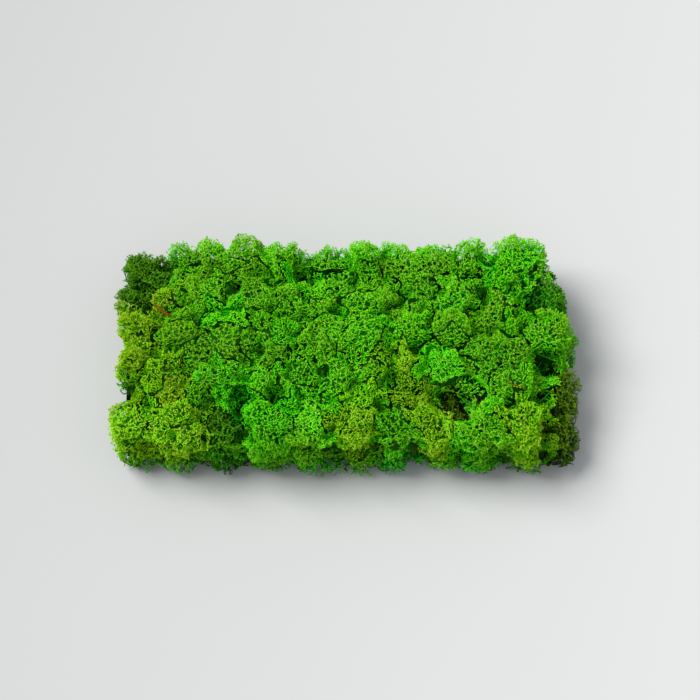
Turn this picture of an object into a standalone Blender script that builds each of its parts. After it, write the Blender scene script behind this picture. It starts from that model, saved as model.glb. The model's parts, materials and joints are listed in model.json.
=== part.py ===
"""Reindeer moss clump: a mat of tufts that grew side by side, standing on its own cut base.

Every tuft is one solid, narrow at its foot, widest at half height and domed on top. Neighbouring tufts
press on each other, so each fills a cell of its own: the mid-line towards a neighbour lies nearer the
smaller tuft of the two. Two slivers of wood that the moss grew around lie on top of the crowns.
The origin is on the surface that the clump stands on, under the middle of its bounding box.
"""

import itertools
import math

import bpy
from mathutils import Vector
from mathutils.bvhtree import BVHTree

MM = 0.001

# Driving dimensions of the whole clump
CLUMP_LENGTH = 292 * MM
CLUMP_DEPTH = 142 * MM

# The face-to-face gap between things that touch
TOUCH_GAP = 0.3 * MM

# A tuft's outline in plan has this many corners
OUTLINE_CORNERS = 14

# How far past its own reach a tuft spreads where no neighbour stops it
FREE_SPREAD = 1.35

# Share of the height, and share of the cell's radius there. This outline is convex.
TUFT_PROFILE = (
    (0.00, 0.84),
    (0.12, 0.94),
    (0.45, 1.00),
    (0.78, 0.97),
    (0.92, 0.83),
    (0.98, 0.52),
)
# The crown's lobes: where they start, how many go round, and how deep the creases between them are
LOBES_START_AT = 0.6
LOBE_COUNT = 3
LOBE_DEPTH = 0.08

# Finishes: linear colour and roughness of each kind of moss and of the wood
FINISHES = {
    "lime_moss": ((0.27, 0.52, 0.02), 0.75),
    "spring_moss": ((0.12, 0.42, 0.01), 0.75),
    "grass_moss": ((0.05, 0.29, 0.01), 0.78),
    "deep_moss": ((0.02, 0.15, 0.01), 0.80),
    "olive_moss": ((0.07, 0.12, 0.01), 0.82),
    "wood": ((0.24, 0.08, 0.02), 0.70),
}

# Each tuft: its place in plan, its reach and its height, all in millimetres, and its finish.
# Rows run from the back of the clump to the front, and left to right in each row.
TUFTS = {
    "tuft_back_1": (-126, 55, 15, 42, "deep_moss"),
    "tuft_back_2": (-107, 60, 13, 51, "grass_moss"),
    "tuft_back_3": (-87, 59, 14, 61, "spring_moss"),
    "tuft_back_4": (-65, 60, 14, 60, "spring_moss"),
    "tuft_back_5": (-40, 57, 18, 63, "spring_moss"),
    "tuft_back_6": (-13, 60, 13, 53, "grass_moss"),
    "tuft_back_7": (11, 56, 18, 63, "spring_moss"),
    "tuft_back_8": (36, 60, 13, 58, "spring_moss"),
    "tuft_back_9": (56, 61, 12, 59, "spring_moss"),
    "tuft_back_10": (75, 60, 12, 59, "spring_moss"),
    "tuft_back_11": (107, 49, 21, 65, "spring_moss"),
    "tuft_rear_1": (-137, 34, 11, 38, "deep_moss"),
    "tuft_rear_2": (-116, 36, 13, 51, "lime_moss"),
    "tuft_rear_3": (-91, 36, 16, 58, "spring_moss"),
    "tuft_rear_4": (-62, 34, 17, 61, "grass_moss"),
    "tuft_rear_5": (-33, 30, 17, 60, "spring_moss"),
    "tuft_rear_6": (-5, 32, 16, 57, "grass_moss"),
    "tuft_rear_7": (22, 31, 16, 61, "spring_moss"),
    "tuft_rear_8": (47, 34, 14, 57, "grass_moss"),
    "tuft_rear_9": (72, 34, 16, 62, "spring_moss"),
    "tuft_rear_10": (98, 20, 15, 57, "spring_moss"),
    "tuft_rear_11": (125, 33, 13, 51, "deep_moss"),
    "tuft_middle_1": (-133, 14, 13, 49, "lime_moss"),
    "tuft_middle_2": (-105, 11, 16, 56, "spring_moss"),
    "tuft_middle_3": (-75, 7, 17, 60, "spring_moss"),
    "tuft_middle_4": (-46, 3, 17, 61, "grass_moss"),
    "tuft_middle_5": (-17, 5, 16, 60, "spring_moss"),
    "tuft_middle_6": (12, 6, 16, 60, "spring_moss"),
    "tuft_middle_7": (39, 11, 13, 63, "spring_moss"),
    "tuft_middle_8": (66, 10, 16, 61, "spring_moss"),
    "tuft_middle_9": (92, -5, 15, 60, "grass_moss"),
    "tuft_middle_10": (131, 11, 16, 58, "spring_moss"),
    "tuft_fore_1": (-137, -10, 13, 55, "lime_moss"),
    "tuft_fore_2": (-115, -17, 14, 55, "lime_moss"),
    "tuft_fore_3": (-88, -21, 16, 58, "grass_moss"),
    "tuft_fore_4": (-60, -25, 15, 59, "spring_moss"),
    "tuft_fore_5": (-33, -25, 16, 61, "grass_moss"),
    "tuft_fore_6": (-6, -22, 15, 61, "spring_moss"),
    "tuft_fore_7": (17, -19, 12, 61, "spring_moss"),
    "tuft_fore_8": (36, -14, 12, 63, "lime_moss"),
    "tuft_fore_9": (62, -16, 15, 61, "spring_moss"),
    "tuft_fore_10": (110, -23, 15, 57, "spring_moss"),
    "tuft_fore_11": (134, -24, 12, 39, "olive_moss"),
    "tuft_front_1": (-134, -46, 16, 52, "lime_moss"),
    "tuft_front_2": (-107, -53, 17, 56, "lime_moss"),
    "tuft_front_3": (-76, -52, 14, 49, "deep_moss"),
    "tuft_front_4": (-49, -54, 15, 57, "grass_moss"),
    "tuft_front_5": (-21, -55, 15, 58, "spring_moss"),
    "tuft_front_6": (6, -53, 14, 59, "lime_moss"),
    "tuft_front_7": (30, -52, 14, 57, "grass_moss"),
    "tuft_front_8": (54, -52, 12, 59, "lime_moss"),
    "tuft_front_9": (71, -41, 10, 37, "olive_moss"),
    "tuft_front_10": (88, -52, 17, 62, "spring_moss"),
    "tuft_front_11": (115, -52, 14, 58, "lime_moss"),
    "tuft_front_12": (136, -52, 12, 36, "olive_moss"),
}

# Each sliver of wood: its two ends in plan and its thickness, in millimetres
SLIVERS = {
    "bark_sliver": ((-123, 28), (-111, 17), 2.0),
    "pine_needle": ((102, -28), (113, -31), 1.2),
}
SLIVER_SIDES = 6
SLIVER_STATIONS = 7
SLIVER_TIP_SHARE = 0.45


def clear_scene():
    for thing in list(bpy.data.objects):
        bpy.data.objects.remove(thing, do_unlink=True)


def make_finish(name):
    colour, roughness = FINISHES[name]
    material = bpy.data.materials.new(name)
    material.use_nodes = True
    shader = material.node_tree.nodes["Principled BSDF"]
    shader.inputs["Base Color"].default_value = (*colour, 1.0)
    shader.inputs["Roughness"].default_value = roughness
    shader.inputs["Metallic"].default_value = 0.0
    return material


def add_solid(name, points, faces, material):
    mesh = bpy.data.meshes.new(name)
    mesh.from_pydata(points, [], faces)
    mesh.materials.append(material)
    mesh.shade_smooth()
    thing = bpy.data.objects.new(name, mesh)
    bpy.context.scene.collection.objects.link(thing)
    return thing


def distance_to_line(offset, angle, direction):
    """How far a ray at this angle runs to a line that lies offset away in that direction."""
    facing = math.cos(angle - direction)
    return offset / facing if facing > 1e-6 else math.inf


def side_limits(x, y, angle):
    """How far a ray from (x, y) runs to the clump's four straight outer sides."""
    half_length = CLUMP_LENGTH / 2
    half_depth = CLUMP_DEPTH / 2
    return (
        distance_to_line(half_length - x, angle, 0.0),
        distance_to_line(half_length + x, angle, math.pi),
        distance_to_line(half_depth - y, angle, math.pi / 2),
        distance_to_line(half_depth + y, angle, -math.pi / 2),
    )


def cell_radius(name, angle):
    """The tuft's outline in plan: the nearest mid-line, outer side or end of its own reach."""
    x, y, reach = (value * MM for value in TUFTS[name][:3])
    limits = [reach * FREE_SPREAD, *side_limits(x, y, angle)]
    for other, row in TUFTS.items():
        if other == name:
            continue
        other_x, other_y, other_reach = (value * MM for value in row[:3])
        apart = math.hypot(other_x - x, other_y - y)
        towards = math.atan2(other_y - y, other_x - x)
        mid_line = (apart**2 + reach**2 - other_reach**2) / (2 * apart)
        limits.append(distance_to_line(mid_line - TOUCH_GAP / 2, angle, towards))
    return min(limits)


def lobe_share(angle, level, phase):
    """1 on a lobe of the crown, and less in the creases between lobes."""
    if level < LOBES_START_AT:
        return 1.0
    return 1.0 - LOBE_DEPTH * (0.5 - 0.5 * math.cos(LOBE_COUNT * angle + phase))


def build_tuft(name, phase, materials):
    """One tuft: rings of its outline, scaled by the profile, closed by a flat foot and a crown."""
    x, y, _, height, finish = TUFTS[name]
    centre = Vector((x * MM, y * MM, 0.0))
    height *= MM
    angles = [math.tau * (i + 0.5) / OUTLINE_CORNERS for i in range(OUTLINE_CORNERS)]
    radii = [cell_radius(name, angle) for angle in angles]
    points = []
    for level, share in TUFT_PROFILE:
        for angle, radius in zip(angles, radii):
            spread = radius * share * lobe_share(angle, level, phase)
            points.append((spread * math.cos(angle), spread * math.sin(angle), level * height))
    crown = len(points)
    points.append((0.0, 0.0, height))

    faces = [tuple(reversed(range(OUTLINE_CORNERS)))]
    for ring in range(len(TUFT_PROFILE) - 1):
        low = ring * OUTLINE_CORNERS
        high = low + OUTLINE_CORNERS
        for i in range(OUTLINE_CORNERS):
            j = (i + 1) % OUTLINE_CORNERS
            faces.append((low + i, low + j, high + j, high + i))
    last = crown - OUTLINE_CORNERS
    for i in range(OUTLINE_CORNERS):
        faces.append((last + i, last + (i + 1) % OUTLINE_CORNERS, crown))

    tuft = add_solid(name, points, faces, materials[finish])
    tuft.location = centre
    return tuft


def tree_of(tufts):
    """All the tufts' faces as one searchable surface, in the clump's own frame."""
    points, faces = [], []
    for tuft in tufts:
        first = len(points)
        points += [tuft.location + vertex.co for vertex in tuft.data.vertices]
        faces += [[first + i for i in face.vertices] for face in tuft.data.polygons]
    return BVHTree.FromPolygons(points, faces)


def crown_height(surface, x, y):
    hit, _, _, _ = surface.ray_cast(Vector((x, y, 1.0)), Vector((0.0, 0.0, -1.0)))
    return hit.z if hit else 0.0


def resting_line(grounds, stations):
    """The straight line over all the grounds that lies lowest at its middle, as height and slope."""
    lines = []
    for i, j in itertools.combinations(range(len(stations)), 2):
        slope = (grounds[j] - grounds[i]) / (stations[j] - stations[i])
        rise = max(ground - slope * share for ground, share in zip(grounds, stations))
        lines.append((rise + slope / 2, rise, slope))
    _, rise, slope = min(lines)
    return rise, slope


def build_sliver(name, surface, material):
    """A tapered six-sided sliver, laid on the crowns under it and touching the highest of them."""
    (x0, y0), (x1, y1), thickness = SLIVERS[name]
    start = Vector((x0, y0, 0.0)) * MM
    end = Vector((x1, y1, 0.0)) * MM
    radius = thickness * MM / 2
    along = (end - start).normalized()
    across = Vector((-along.y, along.x, 0.0))
    stations = [i / (SLIVER_STATIONS - 1) for i in range(SLIVER_STATIONS)]

    def ground(place):
        spots = (place, place + across * radius, place - across * radius)
        return max(crown_height(surface, spot.x, spot.y) for spot in spots)

    middles = [start.lerp(end, share) for share in stations]
    rise, slope = resting_line([ground(middle) for middle in middles], stations)
    points = []
    for middle, share in zip(middles, stations):
        taper = SLIVER_TIP_SHARE + (1 - SLIVER_TIP_SHARE) * math.sin(math.pi * share)
        height = rise + slope * share + radius + TOUCH_GAP
        for side in range(SLIVER_SIDES):
            turn = math.tau * side / SLIVER_SIDES
            offset = across * math.cos(turn) + Vector((0.0, 0.0, math.sin(turn)))
            points.append(middle + Vector((0.0, 0.0, height)) + offset * radius * taper)

    faces = [tuple(reversed(range(SLIVER_SIDES)))]
    for station in range(SLIVER_STATIONS - 1):
        low = station * SLIVER_SIDES
        high = low + SLIVER_SIDES
        for i in range(SLIVER_SIDES):
            j = (i + 1) % SLIVER_SIDES
            faces.append((low + i, low + j, high + j, high + i))
    last = (SLIVER_STATIONS - 1) * SLIVER_SIDES
    faces.append(tuple(range(last, last + SLIVER_SIDES)))
    return add_solid(name, points, faces, material)


def main():
    clear_scene()
    materials = {name: make_finish(name) for name in FINISHES}
    tufts = [build_tuft(name, phase, materials) for phase, name in enumerate(TUFTS)]
    surface = tree_of(tufts)
    for name in SLIVERS:
        build_sliver(name, surface, materials["wood"])


main()
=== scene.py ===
"""Looks of the reindeer moss clump, grown strand by strand around its solid tufts.

The tufts' solids give the mat's skin. Gaps between neighbours are filled up to the mat's own surface, because
their branches tangle there, and a few stay open as dark pits. The skin carries round heads. A head is a small
bush that branches outwards from a heart under the skin: thick limbs, thinner arms, and at every arm's end a
whorl of short tips. The points where it branches are spread out at set depths under the skin, and each joins
the nearest one of the row below it. Older growth lies deeper, and is thicker and darker: the darkening is
partly its age and partly painted shade of the deep thicket, and growth in creases and pits is darkened more,
as painted shade. Each head belongs to one tuft, and a tuft's heads, stems and dense old growth are one piece.
Lengths are in millimetres until a mesh is made, and then in metres.
"""

import json
import math

import bmesh
import bpy
import numpy as np
from mathutils.bvhtree import BVHTree
from mathutils.kdtree import KDTree
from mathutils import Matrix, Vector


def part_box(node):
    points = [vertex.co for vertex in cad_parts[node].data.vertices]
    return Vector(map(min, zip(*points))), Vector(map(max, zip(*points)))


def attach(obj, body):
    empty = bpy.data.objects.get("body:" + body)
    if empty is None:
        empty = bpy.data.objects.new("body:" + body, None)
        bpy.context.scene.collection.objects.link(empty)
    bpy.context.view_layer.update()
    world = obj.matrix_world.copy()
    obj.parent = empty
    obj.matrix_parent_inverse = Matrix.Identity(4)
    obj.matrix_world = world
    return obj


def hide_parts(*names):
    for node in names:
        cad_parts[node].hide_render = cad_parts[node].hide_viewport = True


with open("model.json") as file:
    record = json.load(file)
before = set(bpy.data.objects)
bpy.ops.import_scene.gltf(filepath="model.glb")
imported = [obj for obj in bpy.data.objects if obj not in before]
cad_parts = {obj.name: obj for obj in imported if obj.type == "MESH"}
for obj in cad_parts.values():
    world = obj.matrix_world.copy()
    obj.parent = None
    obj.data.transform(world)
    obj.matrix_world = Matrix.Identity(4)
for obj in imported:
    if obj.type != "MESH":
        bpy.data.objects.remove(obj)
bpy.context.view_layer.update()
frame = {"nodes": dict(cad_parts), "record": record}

MM = 0.001
UP = np.array((0.0, 0.0, 1.0))

# Camera, as worked out from the photo, in metres and degrees
CAMERA_PLACE = (0.0025, -0.4377, 1.2424)
CAMERA_TILT = 20.0
CAMERA_LENS = 103.0
SENSOR = 36.0

# The mat's own surface: the tufts seen from above on a grid of this pitch, with every dip narrower than
# twice the reach filled in, and then evened out this many times
MAT_PITCH = 2.0
MAT_REACH = 10.0
MAT_EVENED = 3
# A tuft lower than this isn't covered: the mat's surface dips down to it
LOW_TUFT = 40.0
# Skin this far under the mat's surface is buried, except this near to the clump's outline
BURIED_UNDER = 0.8
EDGE_WIDTH = 9.0

# How densely the skin is sampled, in points to a square millimetre, and how much more densely gaps are
SAMPLES = 1.8
GAP_SAMPLES = 1.1
# Skin is open where nothing stands in the way out for this far
OPEN_FROM = 12.0
# Notches in the mat's upright sides are filled where they go this much deeper than the sides around them
NOTCH_FROM = 1.0
# The sides are looked at from outside for this far
SIDE_REACH = 30.0
# Growth that fills a notch stays this near to the tufts, and this far under the highest crown
NOTCH_REACH = 6.0
NOTCH_UNDER = 6
# Lowest growth on a tuft's sides, and between tufts
LOWEST_GROWTH = 4.0
LOWEST_FILL = 15
# Growth leans out at the foot and turns up towards the crown: its rise above level at the foot, how much is
# added to that at the crown, both in degrees, and the power of the height's share that this follows
RISE = (12, 78, 2.2)
# Growth this far under the mat's surface keeps its tuft's way, and growth this near to it takes the mat's
MAT_WAYS = (9, 1)

# Dark pits between tufts, as the photo shows them: place in plan, radius and depth
PITS = (
    (-114, 60, 6, 9), (-73, 39, 4, 8), (-77, 19, 4, 8), (-96, 14, 5, 9), (-110, 0, 4, 8), (-23, 64, 6, 9),
    (-5, 63, 5, 9), (5, 42, 3, 9), (-4, 22, 4, 9), (38, 33, 4, 9), (-20, 47, 4, 6), (-27, 31, 4, 6),
    (92, 61, 6, 9), (101, 16, 4, 9), (123, 30, 5, 9), (-122, -4, 5, 9), (-111, -18, 4, 7), (-64, -12, 4, 6),
    (-65, -24, 5, 8), (-66, -36, 6, 9), (-68, -49, 5, 8), (-66, -60, 4, 9), (-125, -40, 4, 7), (1, 55, 3, 8),
    (4, 48, 3, 7), (55, 40, 4, 6), (49, 7, 3, 7), (88, 31, 4, 6), (76, 19, 3, 5), (-55, -6, 4, 8),
    (126, -31, 5, 8), (-143, -26, 8, 10), (-109, -62, 3, 8), (-37, -19, 4, 7), (-13, -21, 4, 8),
    (-46, -37, 3, 7), (43, -5, 4, 10), (23, -42, 5, 8), (-9, -60, 4, 9), (103, -40, 5, 8), (130, -12, 5, 9),
    (76, -54, 4, 7), (-40, 66, 4, 8), (58, 65, 3, 8), (44, 63, 3, 8),
)
# How much wider and deeper than that they are dug, and the field that their rims wander by. A smooth random
# field is given by its height, its reach and its seed, here and below
PIT_WIDENED = 1.6
PIT_DEEPENED = 1.6
PIT_WANDER = (1.8, 9, 70)
# No head has its top deeper in a pit than this
PIT_HEADS_TO = 3.0

# Heads: how far apart they are, how much their sizes differ, how deep their hearts are and how far behind
# those their trunks start, how far they swell past the skin, and how deep and wide their creases are
HEAD_SPACING = 11.0
HEAD_SIZES = 3.6
HEAD_DEPTH = 9.0
ROOT_DEPTH = 2.5
HEAD_SWELL = (-2.2, 3.0)
CREASE_DEPTH = (0.6, 4.4)
CREASE_WIDTH = 7.0
# Whole tufts: the creases between them, how far their tops swell out, and what share of it their borders dip
TUFT_CREASE_DEPTH = 9.0
TUFT_CREASE_WIDTH = 12.0
TUFT_SWELL = 2.6
TUFT_SWELL_WIDTH = 22.0
TUFT_DIP = 0.6
# Their creases come and go: they are gone where this field is under the first value, and whole above the next
TUFT_CREASE_FIELD = (1.0, 34, 9)
TUFT_CREASES_SHOWN = (-0.8, 0.6)
# Fields: waves of the whole mat, and ripples of single branches
WAVES = (2.8, 34, 12)
RIPPLES = (0.9, 4.5, 11)
# The field that the borders of heads wander by, and how much farther those of tufts do
BORDER_WANDER = (2.4, 13.0, 20)
TUFT_WANDER = 1.5

# A head is lacy or felted. Rows of whorls from the outside in: share of the head's radius, spacing, tips,
# share of those that grow, tip length, and how much older the row is than the outermost, which makes inner
# rows darker, partly as painted shade of the depths
LACE = ((1.00, 2.00, 5, 0.84, 1.9, 0.00), (0.82, 2.3, 3, 0.85, 2.1, 0.12), (0.60, 3.6, 3, 0.85, 2.3, 0.34))
FELT = ((1.00, 1.56, 3, 0.85, 1.2, 0.06), (0.86, 2.5, 3, 0.85, 1.7, 0.16), (0.60, 3.8, 3, 0.80, 2.0, 0.38))
FELTED_SHARE = 0.34
# Spacing is wider or narrower from one head to another, between these two factors
HEAD_LOOSENESS = (0.85, 1.2)
# Branching points inside a head: share of its radius and spacing
ARM_ROW = (0.62, 3.8)
LIMB_ROW = (0.32, 4.6)
# Growth farther than this from the heart of its head branches at the same depths as growth this far out
FARTHEST_REACH = 12.0
# Heads are moved this far apart before their points are thinned out, so that each keeps its own spacing
HEADS_APART = 60.0
# Points are first thinned out to one in each cell of this share of their spacing
CELL_SHARE = 0.42
# Added to the square of the distance to a point of another head, so that it is never the nearest
OTHER_HEAD = 1e6
# Distances are worked out for this many points at a time, to save memory
BLOCK = 4000
# The three corners of a strand differ a little in age and in tint, so that no face is flat on the palette
CORNER_AGES = (0, 0.004, -0.004)
CORNER_TINTS = (-0.006, 0, 0.006)
# The palette is kept this far off its edges
PALETTE_EDGE = 0.005

# Chance in a whorl: how far it sinks in, and how much it leans, is tinted and is aged
WHORL_SUNK = 0.5
WHORL_LEAN = 0.22
WHORL_TINT = 0.07
WHORL_AGE = 0.03
# How much a whorl looks away from its heart, against once along its own way
WHORL_OUTWARD = 0.6
# Tips: how much they turn up, and lean by chance, their reach as a share of the way to the neighbour and its
# limits as shares of the row's tip length, how much it differs, and how much older they are at their start
TIP_TURN = (-0.05, 0.5)
TIP_LEAN = 0.22
TIP_LINK = 0.78
TIP_LIMITS = (0.6, 1.2)
TIP_LENGTHS = (0.75, 1.2)
TIP_AGEING = 0.12

# Ages run from 0 at the youngest tip to 1 at the dry foot, and darken the colour, partly as painted shade
# of the depths: a trunk's where it starts, those of the points where limbs and arms branch off, each with the
# share of the painted shade that is added, and the whorls' limits
ROOT_AGE = 0.86
LIMB_AGE = (0.72, 0.3)
ARM_AGE = (0.56, 0.5)
WHORL_AGES = (0.02, 0.80)
# How much older a whorl is with each millimetre that it is sunk in, which darkens it as painted shade, how
# much older than the whorl its arm is at either end, and the age of an arm at most
SUNK_AGEING_AND_SHADE = 0.08
ARM_AGEING = (0.18, 0.38)
OLDEST_ARM = 0.85
# Growth is made older, and so darker: as painted shade by this much in creases between heads and with each
# millimetre of a crease between tufts and of a pit, and towards the foot, where this ends between these two
# heights
SHADES = (0.12, 0.022, 0.03, 0.42)
FOOT_ZONE = (4, 32)

# Tints of heads: their middle and chance, the field that they drift by, and the limits of heads' and whorls'
HEAD_TINTS = (0.54, 0.14)
TINT_DRIFT = (0.15, 45, 5)
HEAD_TINT_LIMITS = (0.06, 0.94)
WHORL_TINT_LIMITS = (0.03, 0.97)
# Painted shadow over the back of the left end: how much less tinted, and so darker, the heads at the left end
# are, behind its front, and where those two begin and are full
LEFT_PAINTED_SHADOW = 0.36
LEFT_END = (55, 110)
LEFT_FRONT = (-45, -25)

# Radii of tips, arms, limbs and trunks where they start and end
TIP_RADII = (0.30, 0.0)
FELT_TIP_RADII = (0.34, 0.0)
ARM_RADII = (0.31, 0.0)
LIMB_RADII = (0.46, 0.36)
TRUNK_RADII = (0.75, 0.55)

# Stems on the open lower sides: spacing, how high and how near to the tufts they end, how far in from there
# and from the clump's outline they start, at what height, how far to one side, and how bent they are
STEM_SPACING = 5.6
STEM_ENDS = (6.0, 26.0)
STEM_REACH = 3.5
STEM_START = (2.0, 6.0)
STEM_INSIDE = 4.0
STEM_FOOT = 0.3
STEM_SWAY = 3.0
STEM_BEND = 0.05
# Their radii, ages and tints
STEM_RADII = (0.50, 0.32)
STEM_AGES = ((0.94, 0.99), (0.70, 0.84))
STEM_TINTS = (0.5, 0.2)
STEM_TINT_LIMITS = (0.05, 0.95)
# How much wider the spacing gets on the open sides, and towards their foot. Ways that rise less than the
# first share are the sides', and more than the second the top's
SIDE_LOOSENESS = 0.25
FOOT_LOOSENESS = 0.15
SIDE_WAYS = (0.3, 0.8)

# The dense old growth inside, a solid body that is coloured dark as painted shade of the deep thicket: how
# far it stays under the skin on the sides, how far under the lowest skin around on top, how wide that search
# is in cells of the mat's grid, how far in it is pulled at most, how far it stays inside the clump's outline,
# how low it is kept at most, and how far across a gap it reaches
CORE_DEPTH = 4.4
CORE_UNDER_SKIN = 4.6
CORE_SEARCH = 2
CORE_PULL = 7.5
CORE_INSIDE = 6.0
CORE_LOWEST = 15.0
CORE_REACH = 8.0
# It is pushed out across a gap by this share of the gap and this much more, and is roughened by this much
CORE_PUSH = (0.55, 0.5)
CORE_ROUGHNESS = (-0.3, 0.9)
# The dips of this many samples of skin near to it count. Skin is on top where its way rises this steeply
# and it is no farther than this under the mat's surface
CORE_NEIGHBOURS = 14
TOP_WAY = 0.85
TOP_UNDER = 22
# Its ages, so high that it is coloured dark as painted shade of the deep thicket, how much older its foot is
# and between which heights, and its tints
CORE_AGES_AND_SHADE = (0.84, 0.97)
CORE_FOOT_AGEING = 0.06
CORE_FOOT_ZONE = (4, 30)
CORE_TINTS = (0.3, 0.7)

# Slivers of wood: growth keeps this far under their middle line, and beyond this distance from it rises
# away this steeply
UNDER_WOOD = 0.6
BESIDE_WOOD = 0.8
WOOD_CLEARANCE = 1.3

# Seeds of the random draws, one for each job. Tufts add their own number to theirs
SEEDS = {"samples": 300, "gaps": 299, "heads": 7, "tufts": 100, "wood": 41}

# Colours of the stages of growth, one row for each finish in the record. They darken from the tips inwards,
# partly with age and partly as painted shade of the depths
STAGES = ("Tips", "Branches", "Inside", "Oldest", "Foot")
MOSS_COLOURS = {
    "lime_moss": ((0.47, 0.70, 0.034), (0.25, 0.67, 0.004), (0.084, 0.54, 0.003), (0.014, 0.11, 0.002),
                  (0.034, 0.060, 0.008)),
    "spring_moss": ((0.33, 0.67, 0.034), (0.145, 0.71, 0.004), (0.050, 0.62, 0.004), (0.007, 0.12, 0.002),
                    (0.020, 0.056, 0.008)),
    "grass_moss": ((0.28, 0.65, 0.032), (0.115, 0.65, 0.004), (0.042, 0.55, 0.004), (0.006, 0.11, 0.002),
                   (0.018, 0.050, 0.008)),
    "deep_moss": ((0.16, 0.40, 0.020), (0.056, 0.31, 0.003), (0.020, 0.20, 0.003), (0.004, 0.06, 0.002),
                  (0.012, 0.032, 0.006)),
    "olive_moss": ((0.20, 0.32, 0.018), (0.072, 0.18, 0.004), (0.024, 0.09, 0.002), (0.005, 0.022, 0.001),
                   (0.016, 0.022, 0.006)),
}
# The ages between which each stage after the first takes over
STAGE_AGES = {"Branches": (0.0, 0.28), "Inside": (0.26, 0.60), "Oldest": (0.55, 0.86), "Foot": (0.86, 0.98)}
# Wood: the colour of its grooves and of its ridges
WOOD_COLOURS = ((0.032, 0.013, 0.003), (0.200, 0.082, 0.007))

# The wood's shapes: thickness, height as a share of that, how far it bends, and its number of splinters
WOOD_SHAPES = {"bark_sliver": (2.0, 0.6, 0.7, 6), "pine_needle": (1.1, 0.7, 0.9, 2)}
# Sides of its tubes, the height of their ridges as a share of the radius, and how many rings they have
WOOD_SIDES = 15
WOOD_RIDGES = 0.16
WOOD_STATIONS = 26
SPLINTER_STATIONS = 9

# The floor, with painted shade that darkens it to the left and the back: its darkest and palest colours, how
# fast it pales to the right, to the back and upwards, as a share of the whole range to a metre, and how far
# it reaches from its middle
FLOOR_COLOURS = ((0.32, 0.33, 0.325), (0.62, 0.62, 0.62))
FLOOR_SHADE_SLOPE = (1.1, -0.25, 0.0)
FLOOR_REACH = 3.0
# The sky, and the lamp: its place, the length of its sides, its power and its colour
SKY_COLOUR = (0.93, 0.97, 1.0, 1.0)
SKY_STRENGTH = 0.60
LAMP_PLACE = (-1.8, 0.65, 2.8)
LAMP_SIZE = 1.8
LAMP_POWER = 150
LAMP_COLOUR = (1.0, 0.99, 0.97)

TUFTS = sorted(name for name in frame["nodes"] if name.startswith("tuft_"))
WOOD = ("bark_sliver", "pine_needle")
SLOT_OF = {row["node"]: row["material_slot"] for row in frame["record"]["subparts"]}


def lengths(vectors):
    """Their lengths, with the last axis kept."""
    return np.linalg.norm(vectors, axis=-1, keepdims=True)


def unit(vectors):
    """The vectors over their lengths."""
    return vectors / np.maximum(lengths(vectors), 1e-9)


def ramp(values, low, high):
    """0 below low, 1 above high, and smooth in between."""
    share = np.clip((values - low) / (high - low), 0, 1)
    return share * share * (3 - 2 * share)


def drift(points, height, reach, seed, waves=7):
    """A smooth random field, mostly from minus to plus its height: the height times the sum of sine waves
    that run in random directions, each about as long as the reach, over the root of their number."""
    rng = np.random.default_rng(seed)
    ways = unit(rng.normal(size=(waves, 3))) * math.tau / (reach * rng.uniform(0.7, 1.5, (waves, 1)))
    field = np.sin(points @ ways.T + rng.uniform(0, math.tau, waves)).sum(1) / math.sqrt(waves)
    return height * field


def wander(points, height, reach, seed, axes):
    """A smooth random push along each of the first axes, whose seeds follow on one another."""
    return np.stack([drift(points, height, reach, seed + axis) for axis in range(axes)], 1)


def node_mesh(name):
    """A CAD node's corner points in millimetres, and its triangles."""
    mesh = frame["nodes"][name].data
    mesh.calc_loop_triangles()
    points = np.empty(len(mesh.vertices) * 3)
    mesh.vertices.foreach_get("co", points)
    triangles = np.empty(len(mesh.loop_triangles) * 3, int)
    mesh.loop_triangles.foreach_get("vertices", triangles)
    return points.reshape(-1, 3) / MM, triangles.reshape(-1, 3)


def skin_samples(points, triangles, rng):
    """Random points spread evenly over the triangles: a triangle is drawn by its area, and a point in it is
    its corners' average, weighted 1 - a, a (1 - b) and a b, where a is the root of one random number."""
    a, b, c = (points[triangles[:, i]] for i in range(3))
    areas = lengths(np.cross(b - a, c - a))[:, 0] / 2
    chosen = rng.choice(len(areas), int(areas.sum() * SAMPLES), p=areas / areas.sum())
    root = np.sqrt(rng.random((len(chosen), 1)))
    share = rng.random((len(chosen), 1))
    return (1 - root) * a[chosen] + root * (1 - share) * b[chosen] + root * share * c[chosen]


def turned_up(outward, points, height):
    """Ways that lean out at the foot and turn up towards the crown: the rise above level is the foot's, plus
    the rest times the height's share to a power."""
    foot, rest, power = RISE
    rise = np.radians(foot + rest * np.clip(points[:, 2:] / height, 0, 1) ** power)
    return outward * np.cos(rise) + UP * np.sin(rise)


def growing_ways(points, middle, height):
    """The ways that a tuft's growth takes, out from the middle of its foot and up."""
    outward = points - middle
    outward[:, 2] = 0
    return turned_up(unit(outward), points, height)


def square_gaps(points, targets):
    """The squares of the distances from every point to every target, both seen from the first target: the sum
    of the squares of their lengths, less twice their product."""
    points, targets = points - targets[:1], targets - targets[:1]
    return (points**2).sum(1)[:, None] + (targets**2).sum(1) - 2 * points @ targets.T


def thin_out(points, spacing, rng):
    """Indices of points that keep the spacing from one another. Of two that are closer, the one that ranks
    lower by chance goes, round after round, until none has a rival."""
    order = rng.permutation(len(points))
    cells = np.floor(points[order] / (spacing * CELL_SHARE)).astype(int)
    _, first = np.unique(cells, axis=0, return_index=True)
    left = order[first]
    rank = rng.permutation(len(left)).astype(float)
    close = square_gaps(points[left], points[left]) < spacing**2
    np.fill_diagonal(close, False)
    waiting = np.ones(len(left), bool)
    kept = np.zeros(len(left), bool)
    while waiting.any():
        rivals = np.where(close[:, waiting], rank[waiting], -1).max(1, initial=-1)
        winners = waiting & (rank > rivals)
        kept |= winners
        waiting &= ~winners & ~close[:, winners].any(1)
    return left[kept]


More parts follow.
